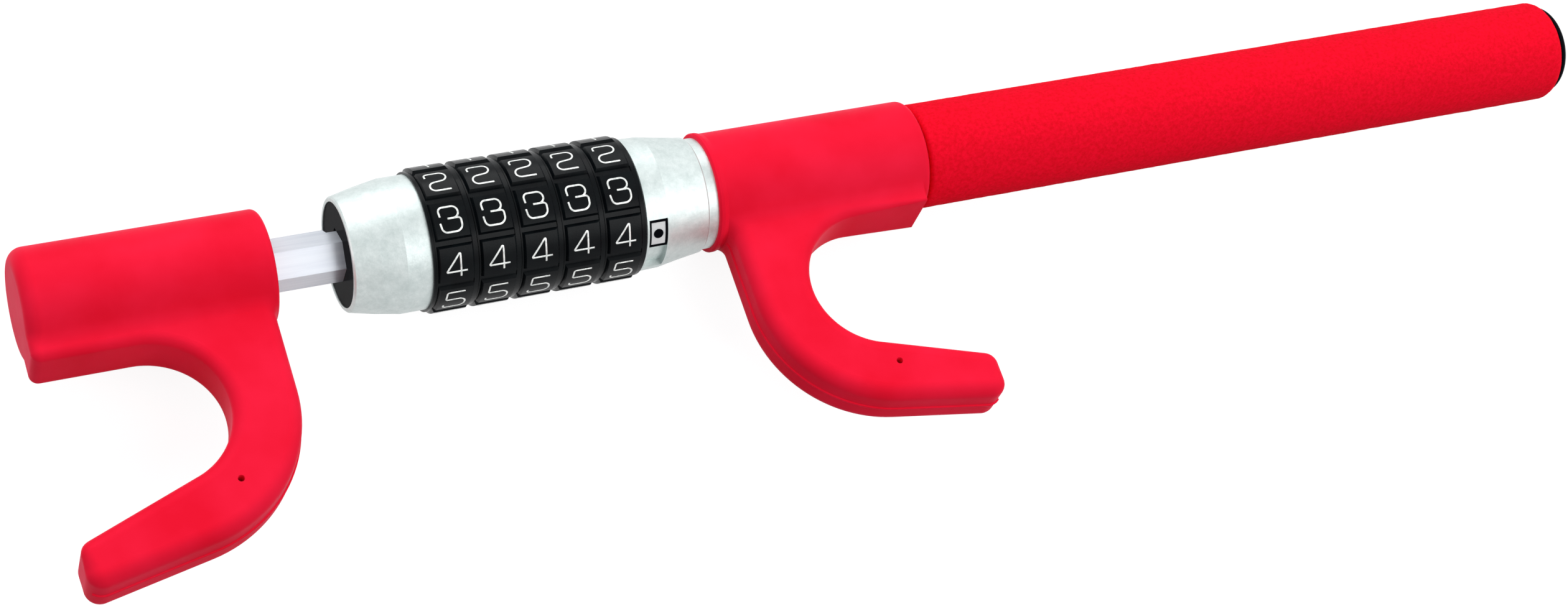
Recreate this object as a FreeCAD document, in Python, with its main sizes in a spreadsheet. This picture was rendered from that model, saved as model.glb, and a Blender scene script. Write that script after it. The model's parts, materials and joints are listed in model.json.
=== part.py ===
import FreeCAD, Part
import Sketcher
import math
import os
import re

# Twin-hook steering-wheel lock with five number dials, in millimetres.
# The hexagonal shaft lies along X at a height of axis_height in Y. Both hooks hang toward -Y in the XY plane.
# The origin is the centre of the rear hook's throat, half way through its thickness. +X points at the handle.
# Angles about the shaft run from +Z toward -Y.

SIZES = {
    # hooks
    "axis_height": 45.5,
    "arm_thickness": 20.0,
    "tip_round": 5.0,
    "edge_round": 4.5,
    "throat_round": 3.0,
    "rear_mouth_round": 0.8,
    "front_mouth_round": 3.0,
    "blend_round": 6.0,
    "rear_throat_radius": 23.7,
    "rear_arm_radius": 44.4,
    "rear_arm_across": 0.5,
    "rear_arm_down": 0.5,
    "rear_tip_reach": 29.8,
    "rear_inner_slope": 18.1,
    "rear_outer_slope": 9.2,
    "rear_barrel_radius": 19.6,
    "rear_barrel_back": 48.2,
    "rear_barrel_front": 28.8,
    "rear_mouth_setback": 3.2,
    "front_throat_radius": 24.0,
    "front_throat_drop": 1.0,
    "front_arm_radius": 45.2,
    "front_arm_across": 0.0,
    "front_arm_down": 0.5,
    "front_tip_reach": 31.2,
    "front_inner_slope": 20.6,
    "front_outer_slope": 11.5,
    "front_barrel_radius": 19.0,
    "front_barrel_back": 47.5,
    "front_barrel_front": 31.2,
    "barrel_end_round": 2.2,
    "closed_end_round": 5.0,
    "lip_radius": 20.1,
    "lip_length": 1.6,
    "lip_edge": 0.5,
    "lip_fade": 1.6,
    "cover_wall": 5.0,
    "plate_thickness": 10.0,
    "sleeve_radius": 16.0,
    "sleeve_end_wall": 3.0,
    "locating_hole_radius": 1.1,
    "rear_hole_across": -4.7,
    "rear_hole_down": 31.8,
    "front_hole_across": -20.3,
    "front_hole_down": 28.2,
    # neck and collars
    "neck_length": 3.5,
    "neck_insert": 2.0,
    "neck_radius": 18.6,
    "rear_collar_length": 23.5,
    "front_collar_length": 24.8,
    "collar_radius": 22.1,
    "rear_collar_waist": 21.85,
    "rear_collar_shoulder": 20.6,
    "rear_collar_tip": 19.4,
    "rear_waist_length": 8.0,
    "rear_shoulder_length": 15.0,
    "front_collar_tip": 18.9,
    "front_collar_flare": 19.7,
    "front_collar_shoulder": 20.7,
    "front_flare_length": 4.1,
    "front_shoulder_length": 8.6,
    "front_cone_length": 16.6,
    "collar_edge": 0.5,
    "collar_pin_radius": 1.5,
    "collar_pin_sink": 1.0,
    "collar_pin_bite": 1.5,
    "collar_pin_inset": 4.5,
    # guide bush
    "bush_radius": 17.3,
    "bush_length": 8.0,
    "bush_edge": 0.6,
    # shaft
    "shaft_flats": 15.0,
    "shaft_gap": 23.9,
    "closed_wall": 7.0,
    "extend_travel": 160.0,
    "stop_gap": 0.5,
    "running_gap": 0.1,
    "tail_bush_length": 12.0,
    "tail_washer_radius": 10.2,
    "tail_washer_thickness": 1.5,
    "tail_screw_radius": 3.0,
    "tail_screw_depth": 15.0,
    "tail_head_radius": 5.2,
    "tail_head_length": 4.0,
    "hook_pin_radius": 2.5,
    "hook_pin_reach": 15.8,
    # core tube and handle
    "core_radius": 13.5,
    "core_bore": 9.0,
    "core_insert": 12.7,
    "handle_bore": 11.5,
    "handle_screw_radius": 2.0,
    "handle_screw_sink": 0.1,
    "core_screw_inset": 6.0,
    "back_screw_inset": 16.0,
    "front_screw_inset": 8.0,
    "foam_gap": 1.0,
    "foam_length": 257.2,
    "foam_radius": 18.0,
    "foam_near_round": 1.4,
    "foam_round": 3.6,
    "cap_radius": 16.0,
    "cap_height": 6.1,
    "cap_plug_length": 14.0,
    "cap_seat_gap": 0.5,
    # dials
    "dial_count": 5.0,
    "dial_pitch": 14.3,
    "dial_gap": 0.3,
    "dial_radius": 23.8,
    "dial_edge_radius": 22.6,
    "dial_edge_width": 0.5,
    "dial_bevel": 0.6,
    "dial_band_radius": 23.0,
    "dial_band_width": 1.5,
    "pad_count": 10.0,
    "pad_gap_top": 3.2,
    "pad_gap_floor": 1.5,
    "pad_angle": 49.8,
    "washer_thickness": 0.8,
    "washer_radius": 22.9,
    # code rings
    "ring_radius": 18.4,
    "ring_counterbore": 16.8,
    "web_thickness": 3.0,
    "gate_clearance": 0.35,
    "detent_radius": 1.3,
    "detent_depth": 0.4,
    "ball_radius": 1.2,
    "ball_hole_floor": 9.5,
    "detent_wire": 0.22,
    "detent_coil_radius": 0.85,
    "detent_coil_pitch": 0.6,
    # lock bar and dog
    "bar_width": 4.0,
    "bar_travel": 6.5,
    "bar_floor": 10.0,
    "bar_top": 13.2,
    "bar_gap": 0.2,
    "fin_top": 16.2,
    "fin_thickness": 2.0,
    "head_top": 15.6,
    "head_setback": 1.0,
    "head_clear": 0.6,
    "bar_spring_space": 2.8,
    "bar_spring_radius": 1.3,
    "bar_spring_wire": 0.25,
    "bar_spring_pitch": 0.9,
    "wedge_ratio": 0.25,
    "wedge_gap": 0.08,
    "dog_length": 5.0,
    "dog_clear": 0.3,
    "notch_pitch": 10.0,
    "notch_depth": 1.65,
    "notch_flare": 0.8,
    "retract_travel": 20.0,
    # index slider
    "window_from": 43.3,
    "slider_angle": 26.0,
    "slider_travel": 30.0,
    "window_gap_angle": 0.5,
    "window_edge": 1.2,
    "window_width": 6.5,
    "window_floor": 19.9,
    "slider_top": 21.7,
    "slider_gap": 0.15,
    "plate_inset": 0.65,
    "plate_inset_angle": 2.2,
    "plate_floor": 21.0,
    "plate_top": 21.5,
    "dot_radius": 1.65,
    "dot_thickness": 0.12,
}

doc = FreeCAD.newDocument("SteeringWheelLock")
sheet = doc.addObject("Spreadsheet::Sheet", "Sizes")
for row, (alias, number) in enumerate(SIZES.items(), start=1):
    sheet.set(f"A{row}", alias)
    sheet.set(f"B{row}", str(number))
    sheet.setAlias(f"B{row}", alias)
doc.recompute()

WORD = re.compile(r"[a-z_]+")
NODES = []
NEAR = 0.01
PAST = "1"  # how far a cutting tool runs beyond the face that it opens

# Stations along the shaft, as expressions on the sheet.
neck_start = "(-rear_barrel_back - neck_length)"
rear_collar_start = f"({neck_start} - rear_collar_length)"
dials_start = f"({rear_collar_start} - dial_count * dial_pitch)"
washer_start = f"({dials_start} - washer_thickness)"
bush_face = f"({washer_start} - front_collar_length)"
core_start = f"({bush_face} + bush_length)"
core_end = "(-rear_barrel_back + core_insert)"
front_barrel_face = f"({bush_face} - shaft_gap)"
front_throat = f"({front_barrel_face} - front_barrel_back)"
shaft_start = f"({front_throat} - front_barrel_front + closed_wall)"
tail_bush_start = f"({core_end} + extend_travel + stop_gap)"
shaft_end = f"({tail_bush_start} + tail_bush_length)"
foam_start = "(rear_barrel_front + foam_gap)"
foam_end = f"({foam_start} + foam_length)"
handle_end = f"({foam_end} - cap_seat_gap)"
bar_start = f"({core_start} + bar_spring_space)"
dog_start = f"({bar_start} + bar_travel)"
dog_end = f"({dog_start} + dog_length)"
head_end = f"({washer_start} - head_setback)"
hex_radius = "(shaft_flats / 2 / cos(30))"
SHAFT_HEIGHT = {"rear": "axis_height", "front": "(axis_height + front_throat_drop)"}
fin_offset = "(bar_travel / 2)"


def value(text):
    """The number that an expression on the sheet gives."""
    return float(sheet.evalExpression(text))


def bind(thing, path, text):
    """Ties a property of a document object to an expression on the sheet."""
    def named(match):
        word = match.group(0)
        return f"Sizes.{word}" if word in SIZES else word
    thing.setExpression(path, WORD.sub(named, text))


def place(thing, x="0", y="axis_height", z="0"):
    """Ties an object's position to the sheet. It lies on the shaft line unless told otherwise."""
    bind(thing, "Placement.Base.x", x)
    bind(thing, "Placement.Base.y", y)
    bind(thing, "Placement.Base.z", z)


def turn(thing, axis, angle):
    """Turns an object about an axis through its own origin by an expression in degrees."""
    thing.Placement = FreeCAD.Placement(FreeCAD.Vector(), FreeCAD.Rotation(axis, value(angle)))
    bind(thing, "Placement.Rotation.Angle", angle)


def keep(thing, node):
    """Marks an object as a finished sub-part."""
    thing.Label = node
    NODES.append(thing)
    return thing


X_AXIS = FreeCAD.Vector(1, 0, 0)
Y_AXIS = FreeCAD.Vector(0, 1, 0)
Z_AXIS = FreeCAD.Vector(0, 0, 1)


# ---------------------------------------------------------------- sketches and bodies

def new_body(name):
    return doc.addObject("PartDesign::Body", name)


def sketch_on(body, plane, name):
    """An empty sketch on one of the body's origin planes: XY, XZ or YZ."""
    sketch = body.newObject("Sketcher::SketchObject", name)
    origin_plane = [item for item in body.Origin.OriginFeatures if item.Role == f"{plane}_Plane"][0]
    sketch.AttachmentSupport = [(origin_plane, "")]
    sketch.MapMode = "FlatFace"
    return sketch


def measure(sketch, kind, *where, text):
    """Adds a dimension to a sketch and ties it to the sheet."""
    number = value(text)
    if kind == "Angle":
        number = math.radians(number)
    index = sketch.addConstraint(Sketcher.Constraint(kind, *where, number))
    bind(sketch, f"Constraints[{index}]", text)


def draw_polygon(sketch, corners):
    """A closed outline of straight lines, each corner held by two dimensions from the sketch's origin."""
    points = [FreeCAD.Vector(value(across), value(up), 0) for across, up in corners]
    count = len(points)
    for index in range(count):
        sketch.addGeometry(Part.LineSegment(points[index], points[(index + 1) % count]), False)
    for index in range(count):
        following = (index + 1) % count
        sketch.addConstraint(Sketcher.Constraint("Coincident", index, 2, following, 1))
    for index, (across, up) in enumerate(corners):
        measure(sketch, "DistanceX", -1, 1, index, 1, text=across)
        measure(sketch, "DistanceY", -1, 1, index, 1, text=up)


def turned_body(name, corners, angle="360"):
    """A body turned about the shaft line from corners (along, outward)."""
    body = new_body(name)
    sketch = sketch_on(body, "XY", f"{name}_profile")
    draw_polygon(sketch, corners)
    turning = body.newObject("PartDesign::Revolution", f"{name}_turning")
    turning.Profile = sketch
    turning.ReferenceAxis = (sketch, ["H_Axis"])
    bind(turning, "Angle", angle)
    return body


def slab_body(name, corners, width):
    """A body of even width about the XY plane, from corners (along, outward)."""
    body = new_body(name)
    sketch = sketch_on(body, "XY", f"{name}_outline")
    draw_polygon(sketch, corners)
    pad = body.newObject("PartDesign::Pad", f"{name}_pad")
    pad.Profile = sketch
    pad.SideType = "Symmetric"
    bind(pad, "Length", width)
    return body


def slot_in(body, name, corners, width, plane="XY"):
    """Cuts a slot of even width, centred on one of the body's planes."""
    sketch = sketch_on(body, plane, f"{name}_outline")
    draw_polygon(sketch, corners)
    slot = body.newObject("PartDesign::Pocket", name)
    slot.Profile = sketch
    slot.SideType = "Symmetric"
    bind(slot, "Length", width)
    return slot


def repeat_round(body, feature, name, count):
    """Repeats a feature round the shaft line."""
    pattern = body.newObject("PartDesign::PolarPattern", name)
    pattern.Originals = [feature]
    pattern.Axis = (feature.Profile[0], ["N_Axis"])
    pattern.Angle = 360
    bind(pattern, "Occurrences", count)
    body.Tip = pattern


# ---------------------------------------------------------------- primitives

def rod(name, start, end, radius):
    """A round rod along the shaft line."""
    thing = doc.addObject("Part::Cylinder", name)
    turn(thing, Y_AXIS, "90")
    bind(thing, "Radius", radius)
    bind(thing, "Height", f"({end}) - ({start})")
    place(thing, start)
    return thing


def hexagon(name, start, end, radius):
    """A hexagonal rod along the shaft line with corners toward +Z and -Z."""
    thing = doc.addObject("Part::Prism", name)
    thing.Polygon = 6
    turn(thing, Y_AXIS, "90")
    bind(thing, "Circumradius", radius)
    bind(thing, "Height", f"({end}) - ({start})")
    place(thing, start)
    return thing


def upright_pin(name, along, low, high, radius, aside="0"):
    """A round pin parallel to Z. low and high are counted from the shaft line's plane."""
    thing = doc.addObject("Part::Cylinder", name)
    bind(thing, "Radius", radius)
    bind(thing, "Height", f"({high}) - ({low})")
    place(thing, along, f"axis_height + ({aside})", low)
    return thing


def cut(name, base, tool):
    thing = doc.addObject("Part::Cut", name)
    thing.Base = base
    thing.Tool = tool
    return thing


def join(name, pieces):
    thing = doc.addObject("Part::MultiFuse", name)
    thing.Shapes = pieces
    thing.Refine = True
    return thing


def tube(name, start, end, outer, inner):
    outside = rod(f"{name}_outside", start, end, outer)
    inside = rod(f"{name}_inside", start, end, inner)
    return cut(name, outside, inside)


def coil(name, height, radius, pitch, wire):
    """A coil spring with its first turn at its own origin, along its own Z."""
    helix = doc.addObject("Part::Helix", f"{name}_helix")
    bind(helix, "Pitch", pitch)
    bind(helix, "Height", height)
    bind(helix, "Radius", radius)
    section = doc.addObject("Part::Circle", f"{name}_section")
    bind(section, "Radius", wire)
    section.Placement.Rotation = FreeCAD.Rotation(X_AXIS, 90)
    bind(section, "Placement.Base.x", radius)
    sweep = doc.addObject("Part::Sweep", name)
    sweep.Sections = [section]
    sweep.Spine = (helix, ["Edge1"])
    sweep.Solid = True
    sweep.Frenet = True
    return sweep


# ---------------------------------------------------------------- hooks

def hook_outline(sketch, side, inset, front):
    """The hook seen along Z: an arc round the throat, a tapering arm and a straight back up to the shaft.

    inset shrinks the outline all round, which gives the steel plate inside the moulding.
    """
    inner = f"({side}_throat_radius + {inset})"
    outer = f"({side}_arm_radius - {inset})"
    reach = f"({side}_tip_reach - {inset})"
    across = value(f"{side}_arm_across")
    down = value(f"{side}_arm_down")
    throat = value(inner)
    back = value(outer)
    lean_in = math.radians(value(f"{side}_inner_slope"))
    lean_out = math.radians(value(f"{side}_outer_slope"))
    top = value(SHAFT_HEIGHT[side])
    front_x = value(front)
    reach_x = value(reach)
    inner_end = math.radians(270) - lean_in
    outer_end = math.radians(270) - lean_out
    throat_centre = FreeCAD.Vector()
    arm_centre = FreeCAD.Vector(across, -down, 0)
    leave_in = FreeCAD.Vector(throat * math.cos(inner_end), throat * math.sin(inner_end), 0)
    leave_out = arm_centre + FreeCAD.Vector(back * math.cos(outer_end), back * math.sin(outer_end), 0)
    tip_in = FreeCAD.Vector(reach_x, leave_in.y - (reach_x - leave_in.x) * math.tan(lean_in), 0)
    tip_out = FreeCAD.Vector(reach_x, leave_out.y - (reach_x - leave_out.x) * math.tan(lean_out), 0)
    back_low = arm_centre - FreeCAD.Vector(back, 0, 0)
    back_top = FreeCAD.Vector(back_low.x, top, 0)
    front_top = FreeCAD.Vector(front_x, top, 0)
    front_low = FreeCAD.Vector(front_x, throat, 0)
    throat_top = FreeCAD.Vector(0, throat, 0)
    inner_circle = Part.Circle(throat_centre, Z_AXIS, throat)
    outer_circle = Part.Circle(arm_centre, Z_AXIS, back)
    top_line, front_line, mouth_line, inner_arc, inner_line = 0, 1, 2, 3, 4
    tip_line, outer_line, outer_arc, back_line = 5, 6, 7, 8
    sketch.addGeometry([
        Part.LineSegment(back_top, front_top),
        Part.LineSegment(front_top, front_low),
        Part.LineSegment(front_low, throat_top),
        Part.ArcOfCircle(inner_circle, math.radians(90), inner_end),
        Part.LineSegment(leave_in, tip_in),
        Part.LineSegment(tip_in, tip_out),
        Part.LineSegment(tip_out, leave_out),
        Part.ArcOfCircle(outer_circle, math.radians(180), outer_end),
        Part.LineSegment(back_low, back_top),
    ], False)
    for first, second in ((top_line, front_line), (front_line, mouth_line), (inner_line, tip_line),
                          (tip_line, outer_line), (back_line, top_line)):
        sketch.addConstraint(Sketcher.Constraint("Coincident", first, 2, second, 1))
    sketch.addConstraint(Sketcher.Constraint("Tangent", mouth_line, 2, inner_arc, 1))
    sketch.addConstraint(Sketcher.Constraint("Tangent", inner_arc, 2, inner_line, 1))
    sketch.addConstraint(Sketcher.Constraint("Tangent", outer_line, 2, outer_arc, 2))
    sketch.addConstraint(Sketcher.Constraint("Tangent", outer_arc, 1, back_line, 1))
    sketch.addConstraint(Sketcher.Constraint("Coincident", inner_arc, 3, -1, 1))
    for flat in (top_line, mouth_line):
        sketch.addConstraint(Sketcher.Constraint("Horizontal", flat))
    for upright in (front_line, tip_line, back_line):
        sketch.addConstraint(Sketcher.Constraint("Vertical", upright))
    measure(sketch, "Radius", inner_arc, text=inner)
    measure(sketch, "Radius", outer_arc, text=outer)
    measure(sketch, "DistanceX", -1, 1, outer_arc, 3, text=f"{side}_arm_across")
    measure(sketch, "DistanceY", -1, 1, outer_arc, 3, text=f"-{side}_arm_down")
    measure(sketch, "DistanceY", -1, 1, top_line, 1, text=SHAFT_HEIGHT[side])
    measure(sketch, "DistanceX", -1, 1, front_line, 1, text=front)
    measure(sketch, "DistanceX", -1, 1, tip_line, 1, text=reach)
    measure(sketch, "Angle", inner_line, text=f"-{side}_inner_slope")
    measure(sketch, "Angle", outer_line, text=f"180 - {side}_outer_slope")


def hook_slab(name, side, inset, front, thickness):
    """A flat hook at its throat. The front hook is turned about to open toward -X."""
    body = new_body(name)
    sketch = sketch_on(body, "XY", f"{name}_outline")
    hook_outline(sketch, side, inset, front)
    pad = body.newObject("PartDesign::Pad", f"{name}_pad")
    pad.Profile = sketch
    pad.SideType = "Symmetric"
    bind(pad, "Length", thickness)
    if side == "front":
        turn(body, Y_AXIS, "180")
        place(body, front_throat, "-front_throat_drop")
    return body


def in_hook_frame(shape, slab):
    return shape.transformed(slab.Placement.inverse().toMatrix())


def rounded_arm(name, side, front):
    """The hook's moulded arm. Its long edges sharpen up the throat and toward the barrel's open end."""
    slab = hook_slab(f"{name}_slab", side, "0", front, "arm_thickness")
    doc.recompute()
    half = value("arm_thickness") / 2
    reach = value(f"{side}_tip_reach")
    corner_rounds = []
    for number, edge in enumerate(in_hook_frame(slab.Shape, slab).Edges, start=1):
        middle = edge.BoundBox.Center
        along_z = edge.BoundBox.ZLength > half
        if along_z and abs(middle.x - reach) < NEAR and middle.y < 0:
            corner_rounds.append((number, value("tip_round"), value("tip_round")))
    arm = doc.addObject("Part::Fillet", f"{name}_tip")
    arm.Base = slab
    arm.Edges = corner_rounds
    doc.recompute()
    rounds = []
    for number, edge in enumerate(in_hook_frame(arm.Shape, slab).Edges, start=1):
        radii = long_edge_round(edge, side, front)
        if radii:
            rounds.append((number, *radii))
    rounded = doc.addObject("Part::Fillet", f"{name}_rounded")
    rounded.Base = arm
    rounded.Edges = rounds
    return rounded


def long_edge_round(edge, side, front):
    """The radii at an edge's two ends, or None for an edge that stays sharp or lies inside the barrel."""
    box = edge.BoundBox
    throat = value(f"{side}_throat_radius")
    in_side_face = box.ZLength < NEAR and abs(abs(box.Center.z) - value("arm_thickness") / 2) < NEAR
    at_top = box.YLength < NEAR and abs(box.YMax - value(SHAFT_HEIGHT[side])) < NEAR
    at_front = box.XLength < NEAR and abs(box.Center.x - value(front)) < NEAR
    on_mouth = box.YLength < NEAR and abs(box.Center.y - throat) < NEAR
    on_throat = isinstance(edge.Curve, Part.Circle) and abs(edge.Curve.Radius - throat) < NEAR
    first, last = edge.Vertexes[0].Point, edge.Vertexes[-1].Point
    if at_front and side == "front":
        high_end, low_end, starts_high = "front_mouth_round", "front_mouth_round", True
    elif not in_side_face or at_top or at_front:
        return None
    elif on_mouth:
        high_end, low_end, starts_high = f"{side}_mouth_round", "throat_round", first.x > last.x
    elif on_throat:
        high_end, low_end, starts_high = "throat_round", "edge_round", first.y > last.y
    else:
        high_end, low_end, starts_high = "edge_round", "edge_round", True
    radii = (value(high_end), value(low_end))
    return radii if starts_high else radii[::-1]


def round_rims(name, thing, rims):
    """Rounds circular edges, each given by its station along X, its radius and its rounding."""
    doc.recompute()
    rounds = []
    for along, radius, rounding in rims:
        for number, edge in enumerate(thing.Shape.Edges, start=1):
            box = edge.BoundBox
            same_place = box.XLength < NEAR and abs(box.Center.x - value(along)) < NEAR
            if same_place and abs(box.ZLength / 2 - value(radius)) < NEAR:
                rounds.append((number, value(rounding), value(rounding)))
    rounded = doc.addObject("Part::Fillet", name)
    rounded.Base = thing
    rounded.Edges = rounds
    return rounded


def blend_arm(side, moulding):
    """Rounds the hollow corner where the arm leaves the barrel."""
    doc.recompute()
    half = value("arm_thickness") / 2
    corner_height = value("axis_height") - math.sqrt(value(f"{side}_barrel_radius") ** 2 - half ** 2)
    rounds = []
    for number, edge in enumerate(moulding.Shape.Edges, start=1):
        box = edge.BoundBox
        along_x = box.YLength < NEAR and box.ZLength < NEAR
        if along_x and abs(abs(box.Center.z) - half) < NEAR and abs(box.Center.y - corner_height) < NEAR:
            rounds.append((number, value("blend_round"), value("blend_round")))
    blended = doc.addObject("Part::Fillet", f"{side}_blended")
    blended.Base = moulding
    blended.Edges = rounds
    return blended


def build_rear_hook():
    start = "(-rear_barrel_back)"
    barrel = turned_body("rear_barrel", [
        (start, "0"),
        (start, "lip_radius - lip_edge"),
        (f"{start} + lip_edge", "lip_radius"),
        (f"{start} + lip_length", "lip_radius"),
        (f"{start} + lip_length + lip_fade", "rear_barrel_radius"),
        ("rear_barrel_front", "rear_barrel_radius"),
        ("rear_barrel_front", "0"),
    ])
    place(barrel)
    barrel = round_rims("rear_barrel_rounded", barrel,
                        [("rear_barrel_front", "rear_barrel_radius", "barrel_end_round")])
    arm = rounded_arm("rear_arm", "rear", "(rear_barrel_front - rear_mouth_setback)")
    moulding = blend_arm("rear", join("rear_moulding", [barrel, arm]))
    sleeve_from = f"({start} + neck_insert)"
    sleeve_to = "(rear_barrel_front - sleeve_end_wall)"
    sleeve = rod("rear_sleeve", sleeve_from, sleeve_to, "sleeve_radius")
    plate_front = "(rear_barrel_front - cover_wall)"
    plate = hook_slab("rear_plate", "rear", "cover_wall", plate_front, "plate_thickness")
    steel = join("rear_steel", [sleeve, plate])
    bore = rod("rear_bore", start, "rear_barrel_front", "core_radius")
    seat = rod("rear_neck_seat", start, sleeve_from, "neck_radius")
    hole = locating_hole("rear_locating_hole", "rear_hole_across", "rear_hole_down")
    cavity = join("rear_cavity", [steel, bore, seat, hole])
    keep(cut("rear_hook_cover_cut", moulding, cavity), "rear_hook_cover")
    screws = join("handle_screw_set", [
        handle_screw("core_screw", f"{core_end} - core_screw_inset"),
        handle_screw("handle_screw_back", f"{core_end} + back_screw_inset"),
        handle_screw("handle_screw_front", f"{sleeve_to} - front_screw_inset"),
    ])
    openings = join("rear_steel_openings", [bore, screws])
    keep(cut("rear_hook_core_cut", steel, openings), "rear_hook_core")
    keep(screws, "handle_screws")
    return screws


def locating_hole(name, across, down):
    """A blind hole left by the mould pin that held the steel plate, on the +Z face."""
    thing = doc.addObject("Part::Cylinder", name)
    bind(thing, "Radius", "locating_hole_radius")
    bind(thing, "Height", f"cover_wall + {PAST}")
    place(thing, across, f"-({down})", "plate_thickness / 2")
    return thing


def handle_screw(name, along):
    """A grub screw from below, through the steel sleeve into the tube inside it."""
    return upright_pin(name, along, "-sleeve_radius + handle_screw_sink",
                       "-handle_bore - handle_screw_sink", "handle_screw_radius")


def build_front_hook():
    front = "front_barrel_front"
    barrel_body = turned_body("front_barrel", [
        ("-front_barrel_back", "0"),
        ("-front_barrel_back", "front_barrel_radius"),
        (front, "front_barrel_radius"),
        (front, "0"),
    ])
    turn(barrel_body, Y_AXIS, "180")
    place(barrel_body, front_throat)
    closed_end = f"{front_throat} - {front}"
    barrel = round_rims("front_barrel_rounded", barrel_body, [
        (closed_end, "front_barrel_radius", "closed_end_round"),
        (front_barrel_face, "front_barrel_radius", "barrel_end_round"),
    ])
    arm = rounded_arm("front_arm", "front", front)
    moulding = blend_arm("front", join("front_moulding", [barrel, arm]))
    sleeve = rod("front_sleeve", shaft_start, f"{front_barrel_face} - sleeve_end_wall", "sleeve_radius")
    plate = hook_slab("front_plate", "front", "cover_wall", f"({front} - closed_wall)", "plate_thickness")
    steel = join("front_steel", [sleeve, plate])
    passage = hexagon("front_passage", shaft_start, front_barrel_face, hex_radius)
    hole = locating_hole("front_locating_hole", f"{front_throat} - front_hole_across", "front_hole_down")
    cavity = join("front_cavity", [steel, passage, hole])
    keep(cut("front_hook_cover_cut", moulding, cavity), "front_hook_cover")
    pin = upright_pin("hook_pin_rod", front_throat, "-hook_pin_reach", "hook_pin_reach", "hook_pin_radius")
    openings = join("front_steel_openings", [passage, pin])
    keep(cut("front_hook_core_cut", steel, openings), "front_hook_core")
    keep(pin, "hook_pin")
    return pin


# ---------------------------------------------------------------- sliding shaft

def build_shaft(pin):
    body = new_body("shaft_bar")
    outline = sketch_on(body, "YZ", "shaft_hexagon")
    corners = []
    for corner in range(6):
        angle = 90 + 60 * corner
        corners.append((f"{hex_radius} * cos({angle})", f"{hex_radius} * sin({angle})"))
    draw_polygon(outline, corners)
    pad = body.newObject("PartDesign::Pad", "shaft_length")
    pad.Profile = outline
    bind(pad, "Length", f"{shaft_end} - {shaft_start}")
    flat = "shaft_flats / 2"
    middle = f"({dog_start} + dog_length / 2 - retract_travel - {shaft_start})"
    half = "(dog_length / 2 + dog_clear)"
    wide = f"({half} + notch_flare)"
    notch = slot_in(body, "ratchet_notch", [
        (f"{middle} - {half}", f"{flat} - notch_depth"),
        (f"{middle} + {half}", f"{flat} - notch_depth"),
        (f"{middle} + {wide}", flat),
        (f"{middle} + {wide}", f"{flat} + notch_depth"),
        (f"{middle} - {wide}", f"{flat} + notch_depth"),
        (f"{middle} - {wide}", flat),
    ], "2 * shaft_flats")
    row_of_notches = body.newObject("PartDesign::LinearPattern", "ratchet_notches")
    row_of_notches.Originals = [notch]
    row_of_notches.Direction = (notch.Profile[0], ["H_Axis"])
    steps = "floor((retract_travel + extend_travel) / notch_pitch)"
    bind(row_of_notches, "Length", f"{steps} * notch_pitch")
    bind(row_of_notches, "Occurrences", f"{steps} + 1")
    body.Tip = row_of_notches
    place(body, shaft_start)
    screw_to = f"{shaft_end} + tail_washer_thickness"
    shank = rod("tail_screw_shank", f"{shaft_end} - tail_screw_depth", screw_to, "tail_screw_radius")
    head = hexagon("tail_screw_head", screw_to, f"{screw_to} + tail_head_length", "tail_head_radius")
    keep(cut("lock_shaft_cut", body, join("shaft_openings", [shank, pin])), "lock_shaft")
    keep(join("tail_screw_join", [shank, head]), "tail_screw")
    bush = rod("tail_bush_round", tail_bush_start, shaft_end, "handle_bore - running_gap")
    hole = hexagon("tail_bush_hole", tail_bush_start, shaft_end, hex_radius)
    keep(cut("tail_bush_cut", bush, hole), "tail_bush")
    washer = tube("tail_washer_ring", shaft_end, screw_to, "tail_washer_radius", "tail_screw_radius")
    keep(washer, "tail_washer")


# ---------------------------------------------------------------- lock body

def build_front_collar():
    body = turned_body("front_collar_body", [
        (bush_face, "bush_radius"),
        (bush_face, "front_collar_tip - collar_edge"),
        (f"{bush_face} + collar_edge", "front_collar_tip"),
        (f"{bush_face} + front_flare_length", "front_collar_flare"),
        (f"{bush_face} + front_shoulder_length", "front_collar_shoulder"),
        (f"{bush_face} + front_cone_length", "collar_radius"),
        (washer_start, "collar_radius"),
        (washer_start, "core_radius"),
        (core_start, "core_radius"),
        (core_start, "bush_radius"),
    ])
    slot_in(body, "bar_head_room", [
        (core_start, "core_bore"),
        (f"{washer_start} + {PAST}", "core_bore"),
        (f"{washer_start} + {PAST}", "head_top + head_clear"),
        (core_start, "head_top + head_clear"),
    ], "bar_width + 2 * bar_gap")
    place(body)
    return body


def build_rear_collar():
    body = turned_body("rear_collar_body", [
        (rear_collar_start, "core_radius"),
        (rear_collar_start, "collar_radius - collar_edge"),
        (f"{rear_collar_start} + collar_edge", "collar_radius"),
        (f"{rear_collar_start} + rear_waist_length", "rear_collar_waist"),
        (f"{rear_collar_start} + rear_shoulder_length", "rear_collar_shoulder"),
        (f"{neck_start} - collar_edge", "rear_collar_tip"),
        (neck_start, "rear_collar_tip - collar_edge"),
        (neck_start, "core_radius"),
    ])
    place(body)
    sweep = "slider_angle + slider_travel + 2 * window_gap_angle"
    window = arc_block("index_window", window_start, window_end, "window_floor", f"collar_radius + {PAST}",
                       "window_from - window_gap_angle", sweep)
    return cut("rear_collar_windowed", body, window)


window_start = f"({rear_collar_start} + window_edge)"
window_end = f"({window_start} + window_width)"


def arc_block(name, start, end, inner, outer, from_angle, sweep):
    """A curved block about the shaft line."""
    body = turned_body(name, [(start, inner), (end, inner), (end, outer), (start, outer)], sweep)
    turn(body, X_AXIS, f"90 + {from_angle}")
    place(body)
    return body


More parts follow.
